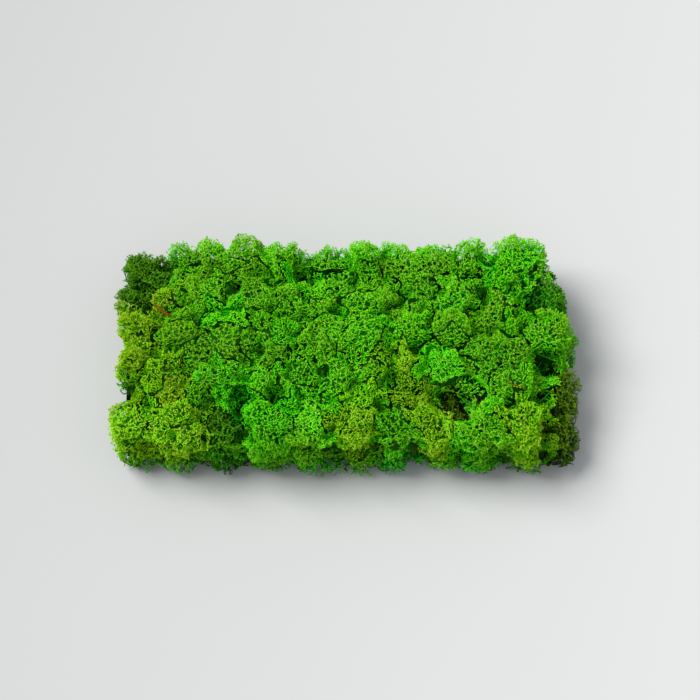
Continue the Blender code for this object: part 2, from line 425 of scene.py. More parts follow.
def nearest(points, targets, groups, target_groups):
    """Index of the target closest to each point, of the point's own group."""
    return (square_gaps(points, targets) + OTHER_HEAD * (groups[:, None] != target_groups)).argmin(1)


def nearest_two(points, centres, sizes):
    """The centre nearest to each point, less the centre's own size, and how much farther the next one is."""
    first, margin = np.empty(len(points), int), np.empty(len(points))
    for rows in np.array_split(np.arange(len(points)), len(points) // BLOCK + 1):
        gaps = lengths(points[rows, None] - centres[None])[..., 0] - sizes
        first[rows] = gaps.argmin(1)
        two = np.partition(gaps, 1, axis=1)
        margin[rows] = two[:, 1] - two[:, 0]
    return first, margin


def cross_axes(ways):
    """Two axes square to each way and to each other. The three are right-handed."""
    helper = np.where(np.abs(ways[..., 2:]) < 0.9, UP, (1.0, 0.0, 0.0))
    side = unit(np.cross(ways, helper))
    return side, np.cross(ways, side)


def sweep(paths, radii, ages, tints, pointed=False):
    """Three-sided strands: at each station of a path, three corners stand off it by the station's radius, at
    thirds of a turn. A pointed strand ends in one corner. Returns points, triangles and the places on the
    palette, where a point's first value is its age and its second the strand's tint."""
    count, stations, _ = paths.shape
    side, over = cross_axes(unit(paths[:, -1] - paths[:, 0]))
    turns = math.tau * np.arange(3) / 3
    spokes = np.cos(turns)[:, None] * side[:, None] + np.sin(turns)[:, None] * over[:, None]
    points = paths[:, :, None] + radii[:, :, None, None] * spokes[:, None]
    palette = np.empty((count, stations, 3, 2))
    palette[..., 0] = ages[:, :, None] + np.array(CORNER_AGES)
    palette[..., 1] = tints[:, None, None] + np.array(CORNER_TINTS)
    points = points.reshape(count, 3 * stations, 3)
    palette = palette.reshape(count, 3 * stations, 2)

    last = 3 * (stations - 1)
    faces = [(0, 2, 1)]
    for low in range(0, last - 3 if pointed else last, 3):
        for i in range(3):
            j = (i + 1) % 3
            faces += [(low + i, low + j, low + 3 + j), (low + i, low + 3 + j, low + 3 + i)]
    if pointed:
        faces += [(last - 3 + i, last - 3 + (i + 1) % 3, last) for i in range(3)]
        points[:, last] = paths[:, -1]
        points, palette = points[:, : last + 1], palette[:, : last + 1]
    else:
        faces.append((last, last + 1, last + 2))
    offsets = np.arange(count)[:, None, None] * points.shape[1]
    triangles = (np.array(faces)[None] + offsets).reshape(-1, 3)
    return points.reshape(-1, 3), triangles, palette.reshape(-1, 2)


def straight_strands(starts, ends, radii, ages, tints):
    """Strands from starts to ends, with radii and ages at the two. An end radius of 0 makes them pointed."""
    paths = np.stack((starts, ends), 1)
    widths = np.broadcast_to(radii, (len(paths), 2))
    return sweep(paths, widths, np.stack(ages, 1), tints, pointed=radii[1] == 0.0)


def bent_strands(starts, ends, radii, ages, tints, rng):
    """Strands from starts to ends whose middle is pushed off at random, by shares of the strand's length."""
    push = rng.normal(0, STEM_BEND, starts.shape)
    middles = (starts + ends) / 2 + push * lengths(ends - starts)
    paths = np.stack((starts, middles, ends), 1)
    wide, narrow = radii
    widths = np.broadcast_to((wide, (wide + narrow) / 2, narrow), (len(starts), 3))
    old, young = ages
    years = np.stack((old, (old + young) / 2, young), 1)
    return sweep(paths, widths, years, tints)


def whorl_tips(places, ways, radii, count, grown, length, ages, tints, rng):
    """Tips that spread from each place towards its nearest neighbours, so that they close into a net, and one
    that stands up from it. A tip runs about three quarters of the way to the neighbour. An end radius of 0
    makes it pointed."""
    count = min(count, len(places) - 1)
    gaps = square_gaps(places, places)
    np.fill_diagonal(gaps, np.inf)
    near = np.argpartition(gaps, count - 1, axis=1)[:, :count] if count else np.empty((len(places), 0), int)
    links = places[near] - places[:, None]
    shape = (len(places), count + 1)
    leans = np.empty((*shape, 3))
    leans[:, :count] = unit(links) + ways[:, None] * rng.uniform(*TIP_TURN, (len(places), count, 1))
    leans[:, count] = ways
    leans = unit(leans + rng.normal(0, TIP_LEAN, leans.shape))
    shortest, longest = (share * length for share in TIP_LIMITS)
    reach = np.full(shape, shortest)
    reach[:, :count] = np.clip(TIP_LINK * lengths(links)[..., 0], shortest, longest)
    reach *= rng.uniform(*TIP_LENGTHS, shape)
    wanted = rng.random(shape) < grown
    starts = np.broadcast_to(places[:, None], leans.shape)[wanted]
    ends = starts + leans[wanted] * reach[wanted][:, None]
    young = np.broadcast_to(ages[:, None], shape)[wanted]
    colours = np.broadcast_to(tints[:, None], shape)[wanted]
    return straight_strands(starts, ends, radii, (young + TIP_AGEING, young), colours)


def window_extreme(heights, reach, pick):
    """The highest or lowest value within the reach of each cell, along both directions of the grid."""
    for axis in (0, 1):
        edges = [(0, 0), (0, 0)]
        edges[axis] = (reach, reach)
        padded = np.pad(heights, edges, mode="edge")
        heights = pick(np.lib.stride_tricks.sliding_window_view(padded, 2 * reach + 1, axis=axis), axis=2)
    return heights


def closed(grid, outer, inner):
    """A grid whose dips narrower than twice MAT_REACH are filled in, by one extreme around each cell and then
    by the other."""
    reach = round(MAT_REACH / MAT_PITCH)
    return window_extreme(window_extreme(grid, reach, outer), reach, inner)


def box_mean(values):
    """Each cell's average with its eight neighbours."""
    padded = np.pad(values, 1, mode="edge")
    return np.lib.stride_tricks.sliding_window_view(padded, (3, 3)).mean((2, 3))


class Mat:
    """The tufts together: their skin for casting rays, and the height of the mat's own surface."""

    def __init__(self):
        points, faces, self.owners = [], [], []
        first = 0
        for owner, name in enumerate(TUFTS):
            corners, triangles = node_mesh(name)
            points.append(corners)
            faces.append(triangles + first)
            self.owners += [owner] * len(triangles)
            first += len(corners)
        points = np.concatenate(points)
        self.skin = BVHTree.FromPolygons(points.tolist(), np.concatenate(faces).tolist())
        self.half = np.abs(points).max(0)
        self.low = -self.half[:2] - 2 * MAT_REACH
        cells = np.ceil((-2 * self.low) / MAT_PITCH).astype(int) + 1
        places = np.stack(np.meshgrid(*(np.arange(count) for count in cells), indexing="ij"), -1)
        crowns, below = self.crowns(self.low + places.reshape(-1, 2) * MAT_PITCH)
        crowns = crowns.reshape(cells)
        heights = closed(crowns, np.max, np.min)
        low = np.array([owner >= 0 and tuft_shape(owner)[1] < LOW_TUFT for owner in below]).reshape(cells)
        heights = np.where(low, crowns, heights)
        inside = (heights > 0).astype(float)
        shares = box_mean(inside)
        for _ in range(MAT_EVENED):
            heights = inside * box_mean(heights) / np.maximum(shares, 0.1)
        self.heights = heights
        self.slopes = np.stack(np.gradient(heights, MAT_PITCH), -1)

    def crowns(self, places):
        """The height of the tufts seen from above at each place in plan, and the tuft seen there. Where there
        is none, they are 0 and -1."""
        top = self.half[2] + 1
        hits = [self.skin.ray_cast((x, y, top), (0, 0, -1)) for x, y in places.tolist()]
        heights = np.array([hit.z if hit else 0.0 for hit, _, _, _ in hits])
        return heights, np.array([-1 if face is None else self.owners[face] for _, _, face, _ in hits])

    def read(self, grid, points):
        """A grid's value over each point: the average of the four cells around it, by nearness."""
        places = (points[:, :2] - self.low) / MAT_PITCH
        cell = np.clip(np.floor(places).astype(int), 0, np.array(grid.shape[:2]) - 2)
        share = np.clip(places - cell, 0, 1).reshape(-1, 2, *[1] * (grid.ndim - 2))
        (i, j), u, v = cell.T, share[:, 0], share[:, 1]
        near = grid[i, j] * (1 - v) + grid[i, j + 1] * v
        far = grid[i + 1, j] * (1 - v) + grid[i + 1, j + 1] * v
        return near * (1 - u) + far * u

    def surface(self, points):
        """The height of the mat's surface over each point."""
        return self.read(self.heights, points)

    def ways(self, points):
        """The way square to the mat's surface: minus the two slopes, and 1 upwards."""
        slopes = self.read(self.slopes, points)
        return unit(np.column_stack((-slopes, np.ones(len(points)))))

    def edge_distance(self, points):
        """How far in from the clump's straight outline each point is."""
        return (self.half[:2] - np.abs(points[:, :2])).min(1)

    def nearest_tufts(self, points):
        """The tuft nearest to each point, and how far away it is."""
        hits = [self.skin.find_nearest(point) for point in points.tolist()]
        return np.array([self.owners[face] for _, _, face, _ in hits]), np.array([hit[3] for hit in hits])

    def clear_runs(self, points, ways, owner):
        """How far each way runs, from half a millimetre out, before it meets another tuft. It is OPEN_FROM at
        most."""
        def run(place, way):
            """How far one way out runs."""
            hit, _, face, distance = self.skin.ray_cast(place, way, OPEN_FROM)
            return OPEN_FROM if hit is None or self.owners[face] == owner else distance

        starts = (points + 0.5 * ways).tolist()
        return np.array([run(place, way) for place, way in zip(starts, ways.tolist())])


def tuft_shape(owner):
    """The middle of a tuft's foot, and the tuft's height."""
    low, high = (np.array(corner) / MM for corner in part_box(TUFTS[owner]))
    return np.array(((low[0] + high[0]) / 2, (low[1] + high[1]) / 2, 0.0)), high[2]


def pit_depths(points):
    """How deep the pits are at each point: every pit is a bowl with a wandering rim. Its depth falls off as
    the square of 1 minus the square of the distance's share of its radius."""
    rims = points[:, :2] + wander(points, *PIT_WANDER, 2)
    depths = np.zeros(len(points))
    for x, y, radius, depth in PITS:
        share = ((rims - (x, y)) ** 2).sum(1) / (PIT_WIDENED * radius) ** 2
        depths = np.maximum(depths, depth * np.clip(1 - share, 0, 1) ** 2 * PIT_DEEPENED)
    return depths


def notch_points(mat, axis, sign, rng):
    """Random points that fill the notches between tufts in one upright side of the mat, and their ways. The
    side is seen from outside on a grid, and every notch narrower than twice MAT_REACH is closed."""
    along, top = 1 - axis, mat.half[2]

    def seen(places, heights):
        """How far in from the clump's outline the first tuft is, at each place along the side and height."""
        starts = np.empty((len(places), 3))
        starts[:, axis], starts[:, along], starts[:, 2] = sign * (mat.half[axis] + 1), places, heights
        way = [0.0, 0.0, 0.0]
        way[axis] = -sign
        hits = [mat.skin.ray_cast(start, way, SIDE_REACH) for start in starts.tolist()]
        return np.array([SIDE_REACH if hit is None else distance for hit, _, _, distance in hits]) - 1

    columns = np.arange(-mat.half[along] - 2 * MAT_REACH, mat.half[along] + 2 * MAT_REACH, MAT_PITCH)
    rows = np.arange(0.5, top + 2 * MAT_REACH, MAT_PITCH)
    grid = np.stack(np.meshgrid(columns, rows, indexing="ij"), -1).reshape(-1, 2)
    depths = closed(seen(*grid.T).reshape(len(columns), len(rows)), np.min, np.max)

    count = int(2 * mat.half[along] * top * SAMPLES * GAP_SAMPLES)
    places = rng.uniform(-mat.half[along], mat.half[along], count)
    heights = rng.uniform(LOWEST_GROWTH, top - NOTCH_UNDER, count)
    cells = (np.stack((places - columns[0], heights - rows[0])) / MAT_PITCH).round().astype(int)
    filled = depths[tuple(np.clip(cells, 0, np.array(depths.shape)[:, None] - 1))]
    inside = (seen(places, heights) - filled > NOTCH_FROM) & (filled < SIDE_REACH / 2)
    points = np.empty((inside.sum(), 3))
    points[:, axis] = sign * (mat.half[axis] - filled[inside])
    points[:, along], points[:, 2] = places[inside], heights[inside]
    out = np.zeros(3)
    out[axis] = sign
    points = points[mat.nearest_tufts(points)[1] < NOTCH_REACH]
    return points, turned_up(out, points, mat.surface(points)[:, None])


def bearing_skin(mat):
    """The skin that bears growth, as points, their ways and the tufts that own them: the tufts' open skin
    where the mat's surface doesn't bury it, the mat's surface where it runs above the tufts, and the notches
    in its sides."""
    points, ways, owners = [], [], []
    for owner, name in enumerate(TUFTS):
        rng = np.random.default_rng(SEEDS["samples"] + owner)
        middle, height = tuft_shape(owner)
        skin = skin_samples(*node_mesh(name), rng)
        skin = skin[skin[:, 2] > LOWEST_GROWTH]
        shown = (mat.surface(skin) - skin[:, 2] < BURIED_UNDER) | (mat.edge_distance(skin) < EDGE_WIDTH)
        skin = skin[shown]
        out = growing_ways(skin, middle, height)
        clear = mat.clear_runs(skin, out, owner) >= OPEN_FROM
        points.append(skin[clear])
        ways.append(out[clear])
        owners.append(np.full(clear.sum(), owner))

    rng = np.random.default_rng(SEEDS["gaps"])
    area = 4 * mat.half[0] * mat.half[1]
    places = rng.uniform(-mat.half, mat.half, (int(area * SAMPLES * GAP_SAMPLES), 3))
    places[:, 2] = mat.surface(places)
    raised = places[:, 2] - mat.crowns(places[:, :2])[0] > BURIED_UNDER
    places = places[raised & (places[:, 2] > LOWEST_FILL)]
    points.append(places)
    ways.append(mat.ways(places))
    for axis, sign in ((0, -1), (0, 1), (1, -1), (1, 1)):
        filled, out = notch_points(mat, axis, sign, rng)
        points.append(filled)
        ways.append(out)
    owners.append(mat.nearest_tufts(np.concatenate(points[len(TUFTS):]))[0])

    points, ways, owners = (np.concatenate(parts) for parts in (points, ways, owners))
    surface = mat.surface(points)[:, None]
    on_top = ramp(points[:, 2:], surface - MAT_WAYS[0], surface - MAT_WAYS[1])
    return points, unit(ways * (1 - on_top) + mat.ways(points) * on_top), owners


class Skin:
    """The mat's skin, swollen into heads and creased between them, with what grows where."""

    def __init__(self, mat):
        rng = np.random.default_rng(SEEDS["heads"])
        points, self.ways, owners = bearing_skin(mat)
        pits = pit_depths(points)
        tops = self.choose_heads(points, owners, pits, rng)
        count = len(tops)
        sizes = rng.uniform(-HEAD_SIZES, HEAD_SIZES, count)
        swell = rng.uniform(*HEAD_SWELL, count)
        creases = rng.uniform(*CREASE_DEPTH, count)

        push = wander(points, *BORDER_WANDER, 3)
        self.head_of, margin = nearest_two(points + push, tops, sizes)
        roundness = 1 - (1 - np.clip(margin / CREASE_WIDTH, 0, 1)) ** 2
        middles = np.array([tuft_shape(owner)[0] for owner in range(len(TUFTS))])
        level = (points + push * TUFT_WANDER) * (1, 1, 0)
        _, tuft_margin = nearest_two(level, middles, 0.0)
        edge = 1 - np.clip(tuft_margin / TUFT_CREASE_WIDTH, 0, 1)
        deep = TUFT_CREASE_DEPTH * edge**2 * ramp(drift(points, *TUFT_CREASE_FIELD), *TUFT_CREASES_SHOWN)
        dome = 1 - (1 - np.clip(tuft_margin / TUFT_SWELL_WIDTH, 0, 1)) ** 2
        lift = swell[self.head_of] * roundness - creases[self.head_of] * (1 - roundness)
        lift += TUFT_SWELL * (dome - TUFT_DIP)
        lift += drift(points, *WAVES) + drift(points, *RIPPLES)
        lift -= deep + pits

        self.lift = lift
        self.points = points + self.ways * lift[:, None]
        for name in WOOD:
            self.points[:, 2] -= over_wood(self.points, name)
        lowness = 1 - ramp(points[:, 2], *FOOT_ZONE)
        # Painted shade in the creases and pits, and darkening towards the foot, carried as extra age
        self.shade = sum(share * part for share, part in zip(SHADES, (1 - roundness, deep, pits, lowness)))
        self.looser = FOOT_LOOSENESS * lowness + SIDE_LOOSENESS * (1 - ramp(self.ways[:, 2], *SIDE_WAYS))
        self.tree = KDTree(len(points))
        for index, place in enumerate(points.tolist()):
            self.tree.insert(place, index)
        self.tree.balance()
        self.lows = self.lowest_around(mat, points)
        spokes = self.points - self.hearts[self.head_of]
        self.reach = lengths(spokes)[:, 0]
        self.spokes = unit(spokes)

    def choose_heads(self, points, owners, pits, rng):
        """Spread the heads over the skin, out of the pits and at least one to a tuft, and give each its
        heart, its owner, its tint and its looseness. Returns their tops."""
        chosen = thin_out(points, HEAD_SPACING, rng)
        chosen = chosen[pits[chosen] < PIT_HEADS_TO]
        bare = [owner for owner in range(len(TUFTS)) if owner not in owners[chosen]]
        highest = [np.where(owners == owner, points[:, 2] - 3 * pits, -99).argmax() for owner in bare]
        chosen = np.concatenate((chosen, np.array(highest, int)))
        tops, count = points[chosen], len(chosen)
        self.head_ways = self.ways[chosen]
        self.hearts = tops - self.head_ways * HEAD_DEPTH
        self.head_owner = owners[chosen]
        tints = rng.normal(*HEAD_TINTS, count) + drift(tops, *TINT_DRIFT)
        # Painted shadow: heads at the back of the left end are made less tinted, so darker
        left = ramp(-tops[:, 0], *LEFT_END) * ramp(tops[:, 1], *LEFT_FRONT)
        self.head_tints = np.clip(tints - LEFT_PAINTED_SHADOW * left, *HEAD_TINT_LIMITS)
        self.felted = rng.random(count) < FELTED_SHARE
        self.looseness = rng.uniform(*HEAD_LOOSENESS, count)
        return tops

    def lowest_around(self, mat, points):
        """The height of the lowest skin on top around each cell of the mat's grid."""
        near = self.points[:, 2] > mat.surface(points) - TOP_UNDER
        on_top = (self.ways[:, 2] > TOP_WAY) & near
        cells = np.round((self.points[on_top, :2] - mat.low) / MAT_PITCH).astype(int)
        lows = np.where(mat.heights > 0, mat.heights, mat.half[2])
        np.minimum.at(lows, tuple(cells.T), self.points[on_top, 2])
        return window_extreme(lows, CORE_SEARCH, np.min)

    def lowest_lift(self, points):
        """The lowest lift of the skin's samples nearest to each point, and 0 at most."""
        near = [[index for _, index, _ in self.tree.find_n(point, CORE_NEIGHBOURS)]
                for point in points.tolist()]
        return np.minimum(self.lift[np.array(near)].min(1), 0)


def wood_ends(name):
    """The two ends of a sliver's middle line: its solid's longest direction, run through its middle."""
    points, _ = node_mesh(name)
    middle = (points.min(0) + points.max(0)) / 2
    along = np.linalg.svd(points - points.mean(0), full_matrices=False)[2][0]
    reach = (points - middle) @ along
    ends = middle + along * reach.min(), middle + along * reach.max()
    return ends if ends[0][0] < ends[1][0] else ends[::-1]


def over_wood(points, name):
    """How far each point stands over the limit under a sliver: a given depth below its middle line, and the
    higher, the farther away in plan the point is."""
    start, end = wood_ends(name)
    along = end - start
    share = np.clip((points - start) @ along / (along @ along), 0, 1)[:, None]
    nearest_on_line = start + share * along
    away = lengths((points - nearest_on_line)[:, :2])[:, 0]
    limit = nearest_on_line[:, 2] - UNDER_WOOD + WOOD_CLEARANCE * np.maximum(away - BESIDE_WOOD, 0)
    return np.maximum(points[:, 2] - limit, 0)


def core_mesh(name, mat, skin, owner, rng):
    """The dense old growth inside a tuft, as a solid body coloured dark as painted shade of the deep thicket:
    the tuft's solid, pulled in under open skin, pushed out to meet the neighbours, kept under the lowest skin
    around, and roughened by chance."""
    shape = bmesh.new()
    shape.from_mesh(frame["nodes"][name].data)
    bmesh.ops.remove_doubles(shape, verts=shape.verts, dist=1e-6)
    bmesh.ops.subdivide_edges(shape, edges=shape.edges, cuts=1, use_grid_fill=True)
    bmesh.ops.triangulate(shape, faces=shape.faces)
    shape.verts.index_update()
    points = np.array([vertex.co for vertex in shape.verts]) / MM
    triangles = np.array([[vertex.index for vertex in face.verts] for face in shape.faces])
    shape.free()
    middle, height = tuft_shape(owner)
    ways = growing_ways(points, middle, height)
    runs = mat.clear_runs(points, ways, owner)
    to_neighbour = runs < CORE_REACH
    pulled_in = np.minimum(CORE_DEPTH - skin.lowest_lift(points), CORE_PULL)
    share, more = CORE_PUSH
    depth = np.where(to_neighbour, -share * runs - more, pulled_in)
    depth += rng.uniform(*CORE_ROUGHNESS, len(points))
    inside = points - np.where(to_neighbour[:, None], unit(ways * (1, 1, 0)), ways) * depth[:, None]
    ceiling = np.maximum(mat.read(skin.lows, inside) - CORE_UNDER_SKIN, CORE_LOWEST)
    inside[:, :2] = np.clip(inside[:, :2], CORE_INSIDE - mat.half[:2], mat.half[:2] - CORE_INSIDE)
    inside[:, 2] = np.clip(np.minimum(inside[:, 2], ceiling), 0.0, None)
    # Corners on the ground stay there
    inside[points[:, 2] < 0.01, 2] = 0.0
    # Painted shade: the core's high ages colour it dark, and darker towards the foot
    ages = rng.uniform(*CORE_AGES_AND_SHADE, len(points)) + CORE_FOOT_AGEING * (1 - ramp(inside[:, 2], *CORE_FOOT_ZONE))
    tints = rng.uniform(*CORE_TINTS, len(points))
    return inside, triangles, np.stack((ages, tints), 1)


def stem_meshes(mine, mat, skin, rng):
    """Old stems on a tuft's open lower sides: each runs from the foot up to its place on the skin."""
    low = mine[(skin.points[mine, 2] > STEM_ENDS[0]) & (skin.points[mine, 2] < STEM_ENDS[1])]
    if not len(low):
        return []
    at = low[thin_out(skin.points[low], STEM_SPACING, rng)]
    at = at[mat.nearest_tufts(skin.points[at])[1] < STEM_REACH]
    ends = skin.points[at]
    outward = unit(skin.ways[at] * (1, 1, 0))
    sideways = np.cross(outward, UP) * rng.normal(0, STEM_SWAY, (len(at), 1))
    starts = ends - outward * rng.uniform(*STEM_START, (len(at), 1)) + sideways
    starts = np.clip(starts, STEM_INSIDE - mat.half, mat.half - STEM_INSIDE)
    starts[:, 2] = STEM_FOOT
    ages = [rng.uniform(*span, len(at)) for span in STEM_AGES]
    tints = np.clip(rng.normal(*STEM_TINTS, len(at)), *STEM_TINT_LIMITS)
    return [bent_strands(starts, ends, STEM_RADII, ages, tints, rng)]


def grow_tuft(name, mat, skin, owner):
    """All of one tuft's meshes: its core and stems, and the limbs, arms and tips of its heads."""
    rng = np.random.default_rng(SEEDS["tufts"] + owner)
    mine = np.flatnonzero(skin.head_owner[skin.head_of] == owner)
    head_of, hearts, spokes, reach = skin.head_of[mine], skin.hearts, skin.spokes[mine], skin.reach[mine]
    shade, tint_of = skin.shade[mine], skin.head_tints[head_of]
    stretch = (1 - skin.looser[mine]) / skin.looseness[head_of]
    meshes = [core_mesh(name, mat, skin, owner, rng), *stem_meshes(mine, mat, skin, rng)]

    def spread_out(chosen, share, spacing, sunk=0.0):
        """Points at a share of their heads' radius that keep the spacing, which is wider in loose heads:
        which they are, their places, and their numbers among those chosen."""
        depth = np.minimum(reach[chosen], FARTHEST_REACH) * (1 - share) + sunk
        places = skin.points[mine[chosen]] - depth[:, None] * spokes[chosen]
        apart = HEADS_APART * (head_of[chosen] - head_of[chosen].min())
        at = thin_out(apart[:, None] + places * stretch[chosen, None], spacing, rng)
        return chosen[at], places[at], at

    def aged_and_shaded(age, at):
        """The ages of branching points, older, and so darker, by a share of their painted shade."""
        return age[0] + shade[at] * age[1]

    # Branching points, from the heart of a head outwards
    everywhere = np.arange(len(mine))
    limb_at, limb_points, _ = spread_out(everywhere, *LIMB_ROW)
    arm_at, arm_points, _ = spread_out(everywhere, *ARM_ROW)
    limb_heads, arm_heads = head_of[limb_at], head_of[arm_at]
    roots = hearts - skin.head_ways * ROOT_DEPTH
    trunk_ages = (np.full(len(limb_at), ROOT_AGE), aged_and_shaded(LIMB_AGE, limb_at))
    meshes.append(straight_strands(roots[limb_heads], limb_points, TRUNK_RADII, trunk_ages, tint_of[limb_at]))
    to_limb = nearest(arm_points, limb_points, arm_heads, limb_heads)
    limb_ages = (aged_and_shaded(LIMB_AGE, arm_at), aged_and_shaded(ARM_AGE, arm_at))
    meshes.append(straight_strands(limb_points[to_limb], arm_points, LIMB_RADII, limb_ages, tint_of[arm_at]))

    felted = skin.felted[head_of]
    for rows, bearing, tip_radii in ((LACE, ~felted, TIP_RADII), (FELT, felted, FELT_TIP_RADII)):
        for share, spacing, count, grown, length, older in rows:
            chosen = np.flatnonzero(bearing)
            if not len(chosen):
                continue
            drop = np.abs(rng.normal(0, WHORL_SUNK, len(chosen)))
            at, points, picked = spread_out(chosen, share, spacing, drop)
            heads = head_of[at]
            lean = rng.normal(0, WHORL_LEAN, points.shape)
            whorl_ways = unit(WHORL_OUTWARD * spokes[at] + skin.ways[mine[at]] + lean)
            tints = np.clip(tint_of[at] + rng.normal(0, WHORL_TINT, len(at)), *WHORL_TINT_LIMITS)
            # Deeper rows and sunk whorls are older, so darker, partly as painted shade of the depths
            ages = older + shade[at] + SUNK_AGEING_AND_SHADE * drop[picked] + rng.normal(0, WHORL_AGE, len(at))
            ages = np.clip(ages, *WHORL_AGES)
            on_limbs = share < ARM_ROW[0]
            parents, parent_heads = (limb_points, limb_heads) if on_limbs else (arm_points, arm_heads)
            nearest_parent = nearest(points, parents, heads, parent_heads)
            arm_ages = (ages + ARM_AGEING[0], np.clip(ages + ARM_AGEING[1], 0, OLDEST_ARM))
            meshes.append(straight_strands(points, parents[nearest_parent], ARM_RADII, arm_ages, tints))
            meshes.append(whorl_tips(points, whorl_ways, tip_radii, count, grown, length, ages, tints, rng))
    return meshes


def wood_tube(path, radii, squash, phase):
    """A ridged, closed tube of fibres. A ring's radius at an angle is the station's, times 1 plus ridges:
    sines of 5 and 9 times the angle, turned a little from ring to ring. It is squashed across its width, and
    both ends close in one corner. Returns points, triangles and how high each point lies on the ridges, from
    0 to 1."""
    stations, sides = len(path), WOOD_SIDES
    side, over = cross_axes(unit(path[-1:] - path[:1]))
    turns = math.tau * np.arange(sides) / sides
    steps = np.linspace(0, 1, stations)[:, None]
    ridges = 0.6 * np.sin(5 * turns + 2.5 * steps + phase) + 0.4 * np.sin(9 * turns - 3.1 * steps + 2 * phase)
    spokes = np.cos(turns)[:, None] * side + squash * np.sin(turns)[:, None] * over
    rings = path[:, None] + (radii[:, None] * (1 + WOOD_RIDGES * ridges))[..., None] * spokes
    points = np.concatenate((rings.reshape(-1, 3), path[:1], path[-1:]))
    heights = np.concatenate(((0.5 + 0.5 * ridges).ravel(), (0.5, 0.5)))

    low = (np.arange(stations - 1)[:, None] * sides + np.arange(sides)).ravel()
    beside = (np.arange(stations - 1)[:, None] * sides + (np.arange(sides) + 1) % sides).ravel()
    first, last = np.arange(sides), (stations - 1) * sides
    after = (first + 1) % sides
    start_pole, end_pole = stations * sides, stations * sides + 1
    triangles = np.concatenate((
        np.stack((low, beside, beside + sides), 1), np.stack((low, beside + sides, low + sides), 1),
        np.stack((after, first, np.full(sides, start_pole)), 1),
        np.stack((last + first, last + after, np.full(sides, end_pole)), 1),
    ))
    return points, triangles, heights


def wood_meshes(name, rng):
    """A sliver of wood in its solid's place: a bent body that thins towards its ends, and thin splinters that
    come off it, each along its own share of the body and away from its middle line."""
    start, end = wood_ends(name)
    thickness, squash, bend, splinters = WOOD_SHAPES[name]
    side, over = (axis[0] for axis in cross_axes(unit((end - start)[None])))

    def line(shares, off):
        """The bent middle line at shares of its length, moved sideways and upwards by two distances."""
        bow = bend * np.sin(math.pi * shares)[:, None]
        wobble = 0.10 * np.sin(9 * shares + off[0] * 5)[:, None]
        sideways, upwards = (value * np.linspace(0.3, 1, len(shares))[:, None] for value in off)
        return start + shares[:, None] * (end - start) + side * (bow + wobble + sideways) - over * upwards

    shares = np.linspace(0, 1, WOOD_STATIONS)
    taper = 0.22 + 0.78 * np.sin(math.pi * np.clip(shares * 0.92 + 0.05, 0, 1)) ** 0.7
    notches = 1 + 0.10 * np.sin(17 * shares + 1.0) + 0.07 * np.sin(31 * shares)
    meshes = [wood_tube(line(shares, (0.0, 0.0)), thickness / 2 * taper * notches, squash, 0.7)]
    for number in range(splinters):
        at_end = number % 2 == 0
        low, high = sorted(rng.uniform((0.45, 0.95), (0.6, 1.06)) - (0.0 if at_end else (0.45, 0.55)))
        part = np.linspace(*((low, high) if at_end else (high, low - 0.08)), SPLINTER_STATIONS)
        off = rng.uniform(-0.55, 0.55) * thickness, rng.uniform(0.05, 0.35) * thickness
        radii = thickness * rng.uniform(0.09, 0.16) * np.linspace(1, 0.25, SPLINTER_STATIONS)
        meshes.append(wood_tube(line(part, off), radii, 0.8, rng.uniform(0, 6)))
    return meshes


def joined(parts):
    """Meshes as one: its points in metres, its triangles, and what the points carry."""
    firsts = np.cumsum([0] + [len(points) for points, _, _ in parts])
    triangles = np.concatenate([faces + first for (_, faces, _), first in zip(parts, firsts)])
    points, carried = (np.concatenate([part[i] for part in parts]) for i in (0, 2))
    return points * MM, triangles, carried


def make_wood(name, rng, material):
    """A sliver as one mesh. Its ridges' heights are kept on its points, for the material."""
    points, triangles, heights = joined(wood_meshes(name, rng))
    piece = make_object("wood_" + name, points, triangles, material)
    layer = piece.data.attributes.new("ridges", "FLOAT", "POINT")
    layer.data.foreach_set("value", heights.astype(np.float32))
    return piece


def make_object(name, points, triangles, material):
    """A smooth mesh of triangles in metres, as an object in the scene."""
    mesh = bpy.data.meshes.new(name)
    mesh.vertices.add(len(points))
    mesh.vertices.foreach_set("co", points.astype(np.float32).ravel())
    mesh.loops.add(triangles.size)
    mesh.loops.foreach_set("vertex_index", triangles.astype(np.int32).ravel())
    mesh.polygons.add(len(triangles))
    mesh.polygons.foreach_set("loop_start", np.arange(0, triangles.size, 3, dtype=np.int32))
    mesh.polygons.foreach_set("use_smooth", np.ones(len(triangles), bool))
    mesh.update(calc_edges=True)
    mesh.materials.append(material)
    piece = bpy.data.objects.new(name, mesh)
    bpy.context.scene.collection.objects.link(piece)
    return piece


def make_piece(name, meshes, material):
    """One piece of all the given points, triangles and palette places, with the palette as its UV map."""
    points, triangles, palette = joined(meshes)
    points[:, 2] = np.maximum(points[:, 2], 0.0)
    piece = make_object(name, points, triangles, material)
    palette = np.clip(palette, PALETTE_EDGE, 1 - PALETTE_EDGE)
    layer = piece.data.uv_layers.new(name="OFBake")
    layer.data.foreach_set("uv", palette[triangles.ravel()].astype(np.float32).ravel())
    return piece


def fill(tree, node, inputs):
    """Set a node's inputs, by name or number, to values or link them to other nodes' outputs."""
    for label, value in inputs.items():
        if isinstance(value, bpy.types.NodeSocket):
            tree.links.new(value, node.inputs[label])
        else:
            node.inputs[label].default_value = value


def add_node(tree, kind, inputs=None, **settings):
    """A shader node of a kind, with its settings and its inputs."""
    node = tree.nodes.new("ShaderNode" + kind)
    for label, value in settings.items():
        setattr(node, label, value)
    fill(tree, node, inputs or {})
    return node


def multiply_add(tree, value, factor, more, **settings):
    """A value times a factor, plus more."""
    node = add_node(tree, "Math", {0: value, 1: factor, 2: more}, operation="MULTIPLY_ADD", **settings)
    return node.outputs[0]


